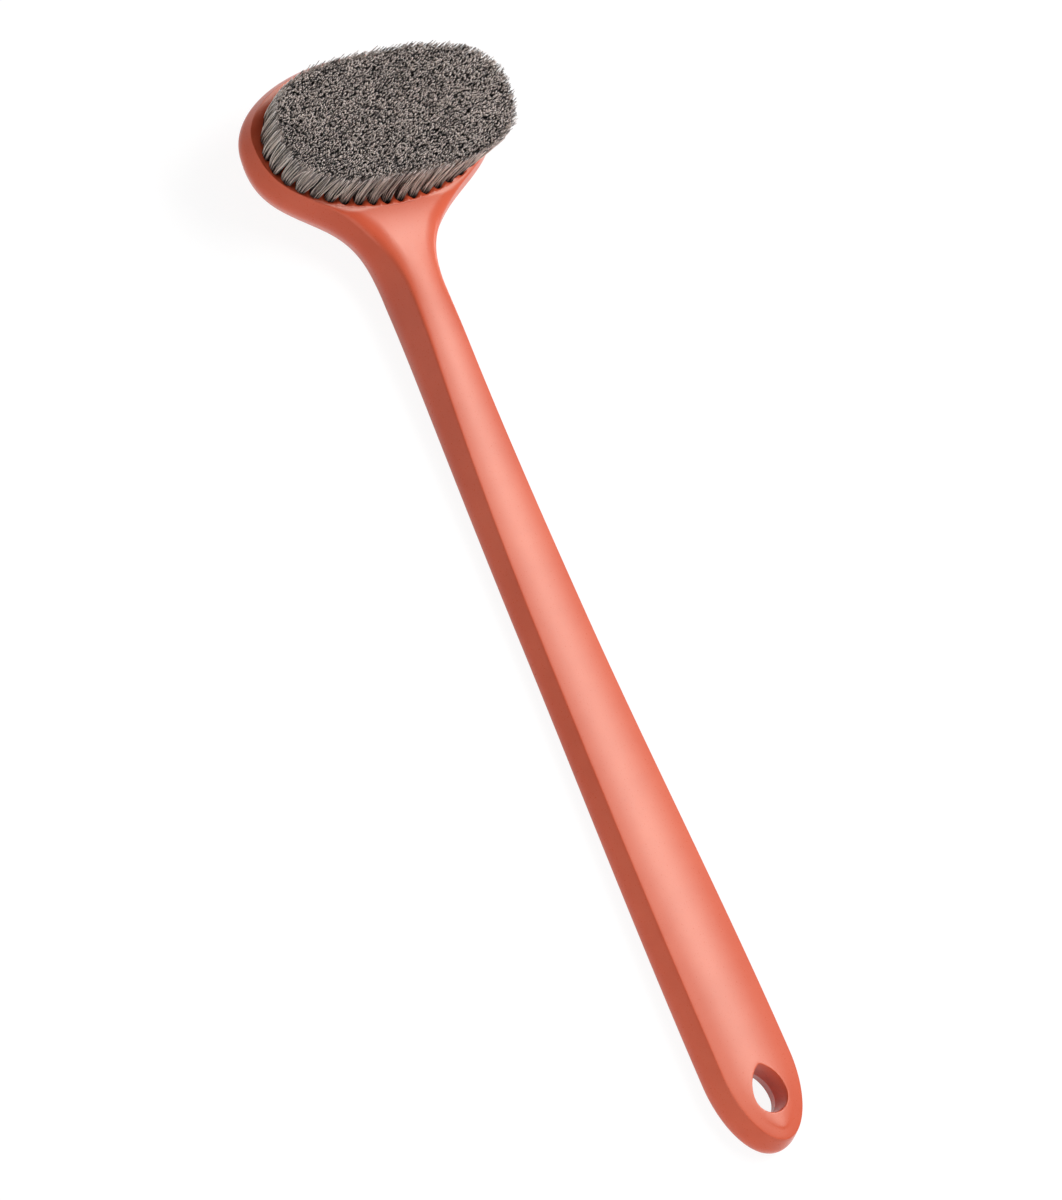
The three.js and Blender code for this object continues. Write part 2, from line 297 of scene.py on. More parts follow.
# Share that rises from 0 at low to 1 at high, eased as 3 * t ^ 2 - 2 * t ^ 3
def smoothShare(value, low, high):
    share = np.clip((value - low) / (high - low), 0, 1)
    return share * share * (3 - 2 * share)


# Cubic Bezier curve of four control points, one row of the result for each parameter
def cubic(controls, t):
    p = np.array(controls, float)
    t = np.asarray(t, float)[..., None]
    return (1 - t) ** 3 * p[0] + 3 * (1 - t) ** 2 * t * p[1] + 3 * (1 - t) * t ** 2 * p[2] + t ** 3 * p[3]


# Front line seen from the side: a cubic along the handle, a shallow dish in the neck, then the head's tilted
# plane
def frontHeight(place):
    neckPlace = body["neck"][1]
    neckHeight = body["neckThickness"]
    neckPull = neckHeight - headSlope * neckPlace / 3
    heights = [[body["endThickness"]], [body["gripFullness"]], [neckPull], [neckHeight]]
    handle = cubic(heights, np.minimum(place, neckPlace) / neckPlace)[..., 0]
    depth, sinks, rises = body["dish"]
    rise = np.clip((place - rises[0]) / (rises[1] - rises[0]), 0, 1)
    dish = depth * smoothShare(place, *sinks) * (1 - rise * rise)
    return handle + headSlope * np.maximum(place - neckPlace, 0) - dish


# Back line: flat along the handle, then u * u / (u + blend) scaled to the thickness at the crest
def backHeight(place):
    def bend(past):
        return past * past / (past + body["bendBlend"])
    crestBack = frontHeight(body["length"]) - body["crestThickness"]
    rise = bend(np.maximum(place - body["bendPlace"], 0)) / bend(body["length"] - body["bendPlace"])
    return crestBack * rise


# 0 on the handle and 1 on the head, eased over the flare that follows the neck
def headShare(place):
    return smoothShare(place, body["neck"][1], body["neck"][1] + body["flareBlend"])


# Right half of the outline from the tip to the crest: five cubics, each point with its outward direction
def halfOutline():
    end, grip, neck, cheek = (np.array(body[key]) for key in ("end", "grip", "neck", "cheek"))
    length = body["length"]
    taper = np.array([-body["gripTaper"], 1]) * body["gripPull"]
    roundness = body["endRoundness"]
    crest = body["crestRoundness"]
    curves = [
        [(0, 0), (roundness * end[0], 0), (end[0], (1 - roundness) * end[1]), end],
        [end, end + (0, body["endPull"]), grip - taper, grip],
        [grip, grip + taper, neck - (0, body["neckPull"]), neck],
        [neck, neck + (0, body["flarePull"]), cheek - (0, body["cheekPull"]), cheek],
        [cheek, (cheek[0], mix(cheek[1], length, crest)), (crest * cheek[0], length), (0, length)],
    ]
    parts = [cubic(c, np.arange(n) / n) for c, n in zip(curves, body["stations"])]
    points = np.concatenate([*parts, [(0, length)]])
    fine = 1e-4
    ahead = [cubic(c, np.arange(n) / n + fine) - cubic(c, np.arange(n) / n - fine)
             for c, n in zip(curves, body["stations"])]
    ahead = np.concatenate([*ahead, [(-1, 0)]])
    outward = np.stack([ahead[:, 1], -ahead[:, 0]], axis=1)
    return points, outward / np.linalg.norm(outward, axis=1, keepdims=True)


# A corner rounded by a quadratic curve that starts the cut distance before it and ends that far after it
def roundedCorner(before, corner, after, cut):
    def towards(end):
        reach = np.linalg.norm(end - corner, axis=1)
        return corner + (end - corner) * np.minimum(cut / reach, body["cutLimit"])[:, None]
    start = towards(before)[:, None]
    finish = towards(after)[:, None]
    t = np.linspace(0, 1, body["cornerSteps"] + 1)[None, :, None]
    return (1 - t) ** 2 * start + 2 * (1 - t) * t * corner[:, None] + t ** 2 * finish


# Edge of the right half: at each station four rounded corners from the front face over its bevel and the side
# to the back, as an inset from the outline and a share of the thickness there
def edgeBand():
    points, outward = halfOutline()
    place = points[:, 1]
    share = headShare(place)
    thickness = frontHeight(place) - backHeight(place)

    def mixed(key):
        return mix(*body[key], share)

    dome = mixed("backDome")
    bevel = np.interp(place, *body["bevel"])
    frontRound = np.interp(place, *body["frontRound"])
    front = np.stack([mixed("frontDraft") + bevel, thickness], axis=1)
    brow = np.stack([mixed("frontDraft"), thickness - body["bevelSlope"] * bevel], axis=1)
    side = np.stack([0 * share, mix(dome, thickness, mixed("partingShare"))], axis=1)
    back = np.stack([mixed("backDraft"), dome], axis=1)
    inwards = np.stack([2 * mixed("backRound"), 0 * share], axis=1)
    upwards = np.stack([0 * share, 2 * body["crownShare"] * (1 - share) * inwards[:, 0]], axis=1)
    profile = np.concatenate([
        roundedCorner(front + inwards + upwards, front, brow, frontRound),
        roundedCorner(front, brow, side, frontRound),
        roundedCorner(brow, side, back, mixed("sideRound")),
        roundedCorner(side, back, back + inwards, mixed("backRound")),
    ], axis=1)
    inset = profile[..., 0] - profile[..., 0].min(1, keepdims=True)
    moved = points[:, None] - outward[:, None] * inset[..., None]
    heightShare = profile[..., 1] / thickness[:, None]
    height = mix(backHeight(moved[..., 1]), frontHeight(moved[..., 1]), heightShare)
    return np.stack([np.maximum(moved[..., 0], 0), moved[..., 1], height], axis=-1)


# The same points on the left half, with x turned round
def mirrored(points):
    return points * np.array([-1.0, 1.0, 1.0])


edge = edgeBand()
frontLine = edge[:, 0]
backLine = edge[:, -1]


# Half width of a face at a place, read along its edge line
def lineWidth(line, place):
    return np.interp(place, line[:, 1], line[:, 0])


# Front face: the edge's height plus a crown that falls as 1 - k * k from the middle to the edge
def frontSurface(x, y):
    width = np.maximum(lineWidth(frontLine, y), tiny)
    k = np.clip(np.abs(x) / width, 0, 1)
    crown = body["crownShare"] * width * (1 - headShare(y))
    return np.interp(y, frontLine[:, 1], frontLine[:, 2]) + crown * (1 - k * k)


# Back face: the edge's height less a dome that eases out from the middle to the edge
def backSurface(x, y):
    width = np.maximum(lineWidth(backLine, y), tiny)
    k = np.clip(np.abs(x) / width, 0, 1)
    dome = mix(*body["backDome"], headShare(y))
    sag = dome * np.minimum(width / body["domeReach"], 1)
    return np.interp(y, backLine[:, 1], backLine[:, 2]) - sag * (1 - smoothShare(k, 0, 1))


# Rows of points across a face between its left and right edge lines
def across(line, surface):
    k = np.linspace(-1, 1, body["columns"] + 1)[None]
    x = k * line[:, :1]
    y = np.repeat(line[:, 1:2], k.size, axis=1)
    z = surface(x, y)
    z[:, 0] = line[:, 2]
    z[:, -1] = line[:, 2]
    return np.stack([x, y, z], axis=-1)


# Closed loop of edge points round one end of a face: up one side, round the end, back, and along the chord
def endLoop(line, chord):
    sides = np.concatenate([mirrored(line[::-1]), line[1:]])
    return np.concatenate([sides, chord[-2:0:-1]])


# Points of a closed outline that lie in the directions of other points from a centre
def reachAlong(outlinePoints, centre, targets):
    away = outlinePoints - centre
    angle = np.arctan2(away[:, 1], away[:, 0])
    order = np.argsort(angle)
    target = targets[:, :2] - centre
    turn = np.arctan2(target[:, 1], target[:, 0])
    reach = np.interp(turn, angle[order], np.linalg.norm(away, axis=1)[order], period=2 * np.pi)
    return centre + np.stack([np.cos(turn), np.sin(turn)], axis=1) * reach[:, None]


# Rings of points from an inner loop out to an outer one, laid on a surface except the outer one itself
def ringPatch(inner, outer, surface):
    share = np.linspace(0, 1, body["ringRows"] + 1)[:, None, None]
    flat = mix(inner[None], outer[None, :, :2], share)
    height = surface(flat[..., 0], flat[..., 1])
    height[-1] = outer[:, 2]
    return np.concatenate([flat, height[..., None]], axis=-1)


# Outline of the hanging hole grown outwards: a half circle, an arc up from each of its ends, and a small
# circle that rounds the point where the two arcs would meet
def dropOutline(grown):
    archRadius = (hole["radius"] ** 2 + hole["archReach"] ** 2) / (2 * hole["radius"])
    archCentre = archRadius - hole["radius"]
    apexRise = np.sqrt((archRadius - hole["apexRadius"]) ** 2 - archCentre ** 2)
    lean = np.arctan2(apexRise, archCentre)

    def arc(x, rise, radius, start, stop, count):
        turn = np.linspace(start, stop, count, endpoint=False)
        return np.stack([np.cos(turn), np.sin(turn)], axis=1) * (radius + grown) + (x, hole["place"] + rise)

    sideSteps, apexSteps, circleSteps = hole["arcSteps"]
    return np.concatenate([
        arc(-archCentre, 0, archRadius, 0, lean, sideSteps),
        arc(0, apexRise, hole["apexRadius"], lean, np.pi - lean, apexSteps),
        arc(archCentre, 0, archRadius, np.pi - lean, np.pi, sideSteps),
        arc(0, 0, hole["radius"], np.pi, 2 * np.pi, circleSteps),
    ])


holeCentre = np.array([0.0, hole["place"] + hole["centreRise"]])


# One ring of the hole's wall: the outline grown outwards, in the directions of the loop around it, on a
# surface less or plus a depth
def holeRing(loop, grown, surface, depth):
    flat = reachAlong(dropOutline(grown), holeCentre, loop)
    return np.column_stack([flat, surface(flat[:, 0], flat[:, 1]) + depth])


# Wall of the hanging hole from its front edge to its back edge: a quarter round, a drafted wall to the
# parting ridge, the opposite draft, and a quarter round out to the back
def holeWall(loop):
    turn = np.linspace(np.pi / 2, 0, hole["edgeSteps"] + 1)
    flare = hole["edgeRound"] * (1 - np.cos(turn))
    sink = hole["edgeRound"] * (1 - np.sin(turn))
    front = [holeRing(loop, hole["frontDraft"] + f, frontSurface, -s) for f, s in zip(flare, sink)]
    back = [holeRing(loop, hole["backDraft"] + f, backSurface, s) for f, s in zip(flare, sink)][::-1]
    ridge = holeRing(loop, 0, frontSurface, 0)
    ridge[:, 2] = hole["ridgeShare"] * frontHeight(hole["place"])
    above = [mix(front[-1], ridge, step) for step in hole["wallSteps"]]
    below = [mix(back[0], ridge, step) for step in hole["wallSteps"][-2::-1]]
    return np.stack([*front, *above, *below, *back])


# Head frame: u across, v towards the crest and w out of the front plane, from the middle of the tuft field
def fromHead(points):
    c, s = np.cos(body["headTilt"]), np.sin(body["headTilt"])
    u, v, w = points[..., 0], points[..., 1], points[..., 2]
    base = frontHeight(field["place"])
    return np.stack([u, field["place"] + c * v - s * w, base + s * v + c * w], axis=-1)


# Oval of the block's pocket seen along the head's own axis, as places on the front plane
def ovalLoop(grown, count):
    turn = np.linspace(0, 2 * np.pi, count, endpoint=False)
    u = (field["halfWidth"] + field["margin"] + grown) * np.cos(turn)
    v = (field["halfLength"] + field["margin"] + grown) * np.sin(turn)
    return np.stack([u, v], axis=1)


# Grids of the body: the edge of both halves, rows across the front and the back, rings round the hole and its
# wall, rings round the block on the head's front, and the block's pocket
def bodyGrids():
    last = len(frontLine) - 1
    holed = int(np.argmax(frontLine[:, 1] > body["holedTo"]))
    head = int(np.argmax(frontLine[:, 1] > body["headFrom"]))
    grids = [(edge, False, False), (mirrored(edge), False, True)]

    frontRows = across(frontLine[holed:head + 1], frontSurface)
    backRows = across(backLine[holed:last + 1], backSurface)
    grids.append((frontRows, False, False))
    grids.append((backRows, False, True))

    frontOuter = endLoop(frontLine[:holed + 1], frontRows[0])
    backOuter = endLoop(backLine[:holed + 1], backRows[0])
    wall = holeWall(frontOuter)
    grids.append((ringPatch(wall[0, :, :2], frontOuter, frontSurface), True, True))
    grids.append((ringPatch(wall[-1, :, :2], backOuter, backSurface), True, False))
    grids.append((wall, True, False))

    headLine = frontLine[head:last + 1][::-1]
    headOuter = endLoop(headLine, frontRows[-1])
    centre = np.array([0.0, field["place"]])
    pocket = fromHead(atHeight(ovalLoop(field["seam"], field["pocketSides"]), 0.0))
    headInner = reachAlong(pocket[:, :2], centre, headOuter)
    grids.append((ringPatch(headInner, headOuter, frontSurface), True, False))
    rim = np.column_stack([headInner, frontSurface(headInner[:, 0], headInner[:, 1])])
    down = fromHead(np.array([0.0, 0.0, -1.0])) - fromHead(np.zeros(3))
    floorRing = rim + down * (field["depth"] + field["clearance"])
    middle = np.repeat(floorRing.mean(0, keepdims=True), len(rim), axis=0)
    grids.append((np.stack([rim, floorRing, mix(floorRing, middle, 0.5), middle]), True, True))
    return grids


# Materials

coral = {
    "tints": ((0.3, "#D15231"), (0.5, "#D65838"), (0.7, "#DA5E3E")),
    "gloss": "#FFFCF0",
    "cloudSize": 26.0,                  # slow drift of the pigment, mm
    "cloudDetail": 3.0,
    "grainSize": 0.55,                  # moulded grain, mm, drawn coarser than a real one so that it shows
    "grainDetail": 2.0,
    "grainSpan": (0.3, 0.7),
    "roughness": (0.27, 0.33),
    "bumpStrength": 0.12,
    "bumpDepth": 0.05,                  # mm
    "ior": 1.49,
    "bloom": (0.05, 0.0),               # sheen outside, and on the wall of the hole
    "bloomRoughness": 0.25,
    "shine": (0.43, 0.26),              # level of the highlight outside, and on the duller wall of the hole
    "wallReach": (11.0, 10.5),          # the wall starts between these distances from the hole's middle, mm
    "wallFacing": (0.7, 0.4),           # and between these shares of its direction that point up or down
}


# 1 on the wall of the hanging hole, 0 elsewhere
def wallMask(tree, coords):
    flat = addNode(tree, "ShaderNodeVectorMath", {0: coords, 1: (1.0, 1.0, 0.0)}, operation="MULTIPLY")
    middle = (0.0, (hole["place"] - body["length"] / 2) * mm, 0.0)
    away = addNode(tree, "ShaderNodeVectorMath", {0: flat.outputs["Vector"], 1: middle}, operation="DISTANCE")
    near = addNode(tree, "ShaderNodeMapRange", {
        "Value": away.outputs["Value"],
        "From Min": coral["wallReach"][0] * mm,
        "From Max": coral["wallReach"][1] * mm,
    })
    normal = addNode(tree, "ShaderNodeNewGeometry").outputs["Normal"]
    facing = addNode(tree, "ShaderNodeSeparateXYZ", {0: normal})
    upright = addNode(tree, "ShaderNodeMath", {0: facing.outputs["Z"]}, operation="ABSOLUTE")
    steep = addNode(tree, "ShaderNodeMapRange", {
        "Value": upright.outputs[0],
        "From Min": coral["wallFacing"][0],
        "From Max": coral["wallFacing"][1],
    })
    wall = addNode(tree, "ShaderNodeMath", {0: near.outputs[0], 1: steep.outputs[0]}, operation="MULTIPLY")
    return wall.outputs[0]


# Soft-touch thermoplastic elastomer, moulded matt: a broad satin highlight, a faint bloom at grazing angles
# and a fine even grain
def softTouchElastomer():
    material, tree = newMaterial("soft_touch_elastomer")
    coords = addNode(tree, "ShaderNodeTexCoord").outputs["Object"]
    cloud = addNode(tree, "ShaderNodeTexNoise", {
        "Vector": coords,
        "Scale": perSize(coral["cloudSize"]),
        "Detail": coral["cloudDetail"],
    })
    tint = addNode(tree, "ShaderNodeValToRGB", {"Fac": cloud.outputs["Fac"]}, coral["tints"])
    grain = addNode(tree, "ShaderNodeTexNoise", {
        "Vector": coords,
        "Scale": perSize(coral["grainSize"]),
        "Detail": coral["grainDetail"],
    })
    roughness = addNode(tree, "ShaderNodeMapRange", {
        "Value": grain.outputs["Fac"],
        "From Min": coral["grainSpan"][0],
        "From Max": coral["grainSpan"][1],
        "To Min": coral["roughness"][0],
        "To Max": coral["roughness"][1],
    })
    bump = addNode(tree, "ShaderNodeBump", {
        "Height": grain.outputs["Fac"],
        "Strength": coral["bumpStrength"],
        "Distance": coral["bumpDepth"] * mm,
    })
    wall = wallMask(tree, coords)
    shine = addNode(tree, "ShaderNodeMapRange", {
        "Value": wall,
        "To Min": coral["shine"][0],
        "To Max": coral["shine"][1],
    })
    bloom = addNode(tree, "ShaderNodeMapRange", {
        "Value": wall,
        "To Min": coral["bloom"][0],
        "To Max": coral["bloom"][1],
    })
    shader = addNode(tree, "ShaderNodeBsdfPrincipled", {
        "Base Color": tint.outputs["Color"],
        "Roughness": roughness.outputs["Result"],
        "Normal": bump.outputs["Normal"],
        "IOR": coral["ior"],
        "Specular IOR Level": shine.outputs["Result"],
        "Specular Tint": hexColour(coral["gloss"]),
        "Sheen Weight": bloom.outputs["Result"],
        "Sheen Roughness": coral["bloomRoughness"],
    })
    addNode(tree, "ShaderNodeOutputMaterial", {"Surface": shader.outputs["BSDF"]})
    return material


elastomer = softTouchElastomer()
bodyPoints, bodyQuads = weld(*stackGrids(bodyGrids()))
bodyFaces = splitCollapsed(bodyQuads)
skin = makePiece("soft_touch_body", bodyPoints + rowShift, bodyFaces, elastomer, body["sharpAngle"])
dress(skin, "soft_touch", "soft_touch_skin")
print("body:", len(bodyPoints), "points")


# Tuft block: the drilled oval plate that the bristles stand in

block = {
    "edgeRound": 0.02,
    "edgeSteps": 2,
    "sides": 180,
    "boreSides": 14,
    "boreChamfer": 0.05,
    "boreShare": 0.9,                   # no face has its middle within this share of a mouth's radius
    "sharpAngle": 40,
}
bristle = {
    "rings": 4,
    "outerTufts": 40,
    "rowTufts": 8,
    "curveSteps": 2001,
    "outerInset": 0.4,                  # of the outer roots from the field's edge, in steps between the rings
    "boreRadius": 2.0,
    "rootRadius": 1.9,
    "rootDepth": 2.0,                   # the fibres start this far down their bore
    "rootSpread": (0.68, 0.35),         # share of its tip's offset that a root keeps, and its random part
    "height": 16.9,
    "tipWidening": 0.7,
    "tipShortening": 3.0,
    "tipShift": 2.3,
    "tipFullness": 2.7,
    "spacing": 0.51,                    # between fibre tips, drawn wider than real ones so that they show
    "jitter": 0.5,                      # of the tips, as a share of their spacing
    "clumpSpacing": 1.4,                # tips lean together in small clumps
    "clumpPull": 0.15,
    "thickness": (0.32, 0.27, 0.39),    # at the root, at outer tips and at inner tips; drawn thicker than
                                        # real ones so that they show
    "thickRange": (0.8, 1.2),
    "sideSections": (0.0, 0.14, 0.32, 0.52, 0.72, 0.88, 0.955, 0.98, 1.0),
    "innerSections": (0.0, 0.5, 0.95, 0.978, 1.0),
    "fan": 0.47,                        # a tuft fans out fast above its bore and slower further up
    "bow": 0.3,
    "splay": 0.13,                      # how far the outermost tips stray outwards
    "strayShare": 0.25,                 # of the fibres at the edge, which stick out further
    "strayBy": 1.2,                     # at most outwards, and half of it upwards
    "unevenness": 0.14,                 # of the tips' height
    "shortShare": 0.3,                  # fibres that end lower than the others and leave a pit, shaded there and darkened further by painted shade
    "shortBy": 2.0,
    "shelter": (0.4, 2.4),              # between these distances from the edge fibres become hidden
    "hidden": (0.06, 0.957),            # painted light that a hidden fibre gains on its way up, and where its tip gets it in full; below that it has painted shade
    "tone": (0.55, 0.36),               # middle and spread over the fibres, from 0 for dark to 1 for bright
    "tuftTone": 0.05,                   # spread over the tufts
    "edgeTone": 0.3,                    # further spread at the open edge
    "pitShade": 0.9,                     # painted shade: how much darker a fibre is that ends a millimetre low, as if shaded in its pit
    "mapStrip": 1 / 128,                # width of a fibre in the bake's map
    "searchParts": 40,                  # tips look for their clumps in this many parts, to save memory
    "seed": 11,
}
rootStep = field["halfLength"] / (bristle["rings"] + 0.5)
tipHalfWidth = field["halfWidth"] + bristle["tipWidening"]
tipHalfLength = field["halfLength"] - bristle["tipShortening"]
tipStep = tipHalfLength / (bristle["rings"] + 0.5)


# Superellipse |x / a| ^ n + |y / b| ^ n = 1 by angle; n = 2 is an ellipse
def superOval(halfWidth, halfLength, fullness, shift, turn):
    c, s = np.cos(turn), np.sin(turn)
    x = halfWidth * np.sign(c) * np.abs(c) ** (2 / fullness)
    y = shift + halfLength * np.sign(s) * np.abs(s) ** (2 / fullness)
    return np.stack([x, y], axis=1)


# Points on a closed curve, a whole number of equal steps along it from its first point
def evenlySpaced(curve, count):
    steps = np.linalg.norm(np.diff(curve, axis=0), axis=1)
    along = np.concatenate([[0], np.cumsum(steps)])
    wanted = np.arange(count) / count * along[-1]
    return np.stack([np.interp(wanted, along, curve[:, i]) for i in (0, 1)], axis=1)


# Sum of the steps along a curve
def curveLength(curve):
    return np.linalg.norm(np.diff(curve, axis=0), axis=1).sum()


# Roots and tips of all tufts in the head frame, with the ring that each belongs to; the last ring is the row
def tuftPlaces():
    turn = np.linspace(0, 2 * np.pi, bristle["curveSteps"])
    rootCurves = []
    tipCurves = []
    for ring in range(bristle["rings"]):
        inset = (ring + (0.5 if ring else bristle["outerInset"])) * rootStep
        rootCurves.append(superOval(field["halfWidth"] - inset, field["halfLength"] - inset, 2, 0, turn))
        inset = (ring + 0.5) * tipStep
        tipCurves.append(superOval(tipHalfWidth - inset, tipHalfLength - inset,
                                   bristle["tipFullness"], bristle["tipShift"], turn))
    outer = curveLength(rootCurves[0])
    counts = [round(bristle["outerTufts"] * curveLength(curve) / outer) for curve in rootCurves]
    roots = [evenlySpaced(curve, n) for curve, n in zip(rootCurves, counts)]
    tips = [evenlySpaced(curve, n) for curve, n in zip(tipCurves, counts)]
    rowReach = field["halfWidth"] - (bristle["rings"] + 1) * rootStep
    rowX = np.linspace(-rowReach, rowReach, bristle["rowTufts"])
    roots.append(np.stack([rowX, 0 * rowX], axis=1))
    tips.append(np.stack([rowX, 0 * rowX + bristle["tipShift"]], axis=1))
    ringOf = np.repeat(np.arange(len(roots)), [len(r) for r in roots])
    return np.concatenate(roots), np.concatenate(tips), ringOf


tuftRoots, tuftTips, tuftRing = tuftPlaces()


# Top of the block: the oval with a round mouth for every bore, triangulated flat
def drilledTop(outline, mouths):
    count = len(outline)
    flat = np.concatenate([outline, mouths.reshape(-1, 2)])
    sides = mouths.shape[1]
    ring = np.arange(count)
    bores = count + np.arange(mouths[..., 0].size).reshape(-1, sides)
    edges = np.concatenate([
        np.stack([ring, np.roll(ring, -1)], axis=1),
        np.stack([bores, np.roll(bores, -1, axis=1)], axis=-1).reshape(-1, 2),
    ])
    made = delaunay_2d_cdt([tuple(p) for p in flat.tolist()], edges.tolist(), [], 0, tiny)
    corners = np.array([p[:] for p in made[0]])
    faces = np.array([f for f in made[2] if len(f) == 3])
    middle = corners[faces].mean(1)
    away = np.linalg.norm(middle[:, None] - mouths.mean(1)[None], axis=2).min(1)
    mouthRadius = np.linalg.norm(mouths[0] - mouths[0].mean(0), axis=1).max()
    return corners, faces[away > block["boreShare"] * mouthRadius]


# A circle of points round each centre
def circlePoints(centres, radius, sides):
    turn = np.linspace(0, 2 * np.pi, sides, endpoint=False)
    return centres[:, None] + radius * np.stack([np.cos(turn), np.sin(turn)], axis=1)[None]


# Block: flat drilled top, bores with a small chamfer, a rounded edge and a straight side to its underside
def blockMesh():
    proud = field["proud"]
    bore = bristle["boreRadius"]
    chamfer = block["boreChamfer"]
    rimRadius = block["edgeRound"]
    mouths = circlePoints(tuftRoots, bore + chamfer, block["boreSides"])
    top, topFaces = drilledTop(ovalLoop(-rimRadius, block["sides"]), mouths)

    turn = np.linspace(0, np.pi / 2, block["edgeSteps"] + 1)
    insets = [*(rimRadius * (1 - np.sin(turn))), 0.0]
    heights = [*(proud - rimRadius * (1 - np.cos(turn))), -field["depth"]]
    skirt = [atHeight(ovalLoop(-inset, block["sides"]), height) for inset, height in zip(insets, heights)]
    middle = np.tile([0.0, 0.0, -field["depth"]], (block["sides"], 1))
    grids = [(np.stack([*skirt, middle]), True, True)]

    bottom = proud - 2 * bristle["rootDepth"]
    levels = [(bore + chamfer, proud), (bore, proud - chamfer), (bore, bottom), (0.0, bottom)]
    for centre in tuftRoots[:, None]:
        rings = [atHeight(circlePoints(centre, radius, block["boreSides"])[0], height)
                 for radius, height in levels]
        grids.append((np.stack(rings), True, False))

    gridPoints, quads = stackGrids(grids, len(top))
    points = fromHead(np.concatenate([atHeight(top, proud), gridPoints]))
    welded, corners = weld(points, np.concatenate([topFaces.ravel(), quads.ravel()]))
    triangles = corners[:topFaces.size].reshape(-1, 3)
    return welded, [triangles, *splitCollapsed(corners[topFaces.size:].reshape(-1, 4))]


blockPoints, blockFaces = blockMesh()
blockPiece = makePiece("drilled_tuft_block", blockPoints + rowShift, blockFaces, elastomer,
                       block["sharpAngle"])
dress(blockPiece, "block_plastic", "tuft_block")
print("block:", len(blockPoints), "points")


# Bristles

fibre = {
    # along: colour by painted light, with painted shade dark at the roots and inside the field, pale at the
    # open tips
    "along": ((0.06, "#2B2B27"), (0.16, "#A39A92"), (0.3, "#F4E6DC"), (0.7, "#FCEFE4"), (1.0, "#FFF6F3")),
    "strands": ((0.0, "#191716"), (0.35, "#BAB4B2"), (0.7, "#F3EEEB"), (1.0, "#FFFEFD")),
    "roughness": 0.32,
    "ior": 1.55,
}


# Nylon fibre, dyed grey, with painted shade: dark where it is sheltered inside the field and towards its
# root, paler in the open and at its tip.
# The dark and bright strands among the others are the fibres' own tones, with painted shade on those that end
# low.
def nylonFibre():
    material, tree = newMaterial("grey_nylon_fibre")
    paintedLight = addNode(tree, "ShaderNodeAttribute", attribute_name="paintedLight").outputs["Fac"]
    tone = addNode(tree, "ShaderNodeAttribute", attribute_name="tone").outputs["Fac"]
    along = addNode(tree, "ShaderNodeValToRGB", {"Fac": paintedLight}, fibre["along"])
    strand = addNode(tree, "ShaderNodeValToRGB", {"Fac": tone}, fibre["strands"])
    colour = addNode(tree, "ShaderNodeMix", {
        "Factor": 1.0,
        6: along.outputs["Color"],
        7: strand.outputs["Color"],
    }, data_type="RGBA", blend_type="MULTIPLY")
    shader = addNode(tree, "ShaderNodeBsdfPrincipled", {
        "Base Color": colour.outputs[2],
        "Roughness": fibre["roughness"],
        "IOR": fibre["ior"],
    })
    addNode(tree, "ShaderNodeOutputMaterial", {"Surface": shader.outputs["BSDF"]})
    return material


# Points of a triangular grid with a spacing, each moved by a random share of it, that lie inside the tip
# oval, with the oval's level at each: 0 in the middle and 1 at its edge
def scatterTips(spacing, draws, grown=0.0):
    halfWidth, halfLength = tipHalfWidth + grown, tipHalfLength + grown
    columns = np.arange(-halfWidth, halfWidth, spacing)
    rows = np.arange(-halfLength, halfLength, spacing * np.sqrt(3) / 2)
    x = columns[None] + spacing / 2 * (np.arange(len(rows)) % 2)[:, None]
    y = np.repeat(rows[:, None], len(columns), axis=1)
    spots = np.stack([x.ravel(), y.ravel()], axis=1)
    spots += draws.uniform(-bristle["jitter"], bristle["jitter"], spots.shape) * spacing
    full = bristle["tipFullness"]
    level = np.abs(spots[:, 0] / halfWidth) ** full + np.abs(spots[:, 1] / halfLength) ** full
    return spots[level < 1] + (0, bristle["tipShift"]), level[level < 1]


# For each place the number of the centre with the smallest squared distance
def nearest(places, centres):
    gaps = ((places[:, None] - centres[None]) ** 2).sum(2)
    return gaps.argmin(1)
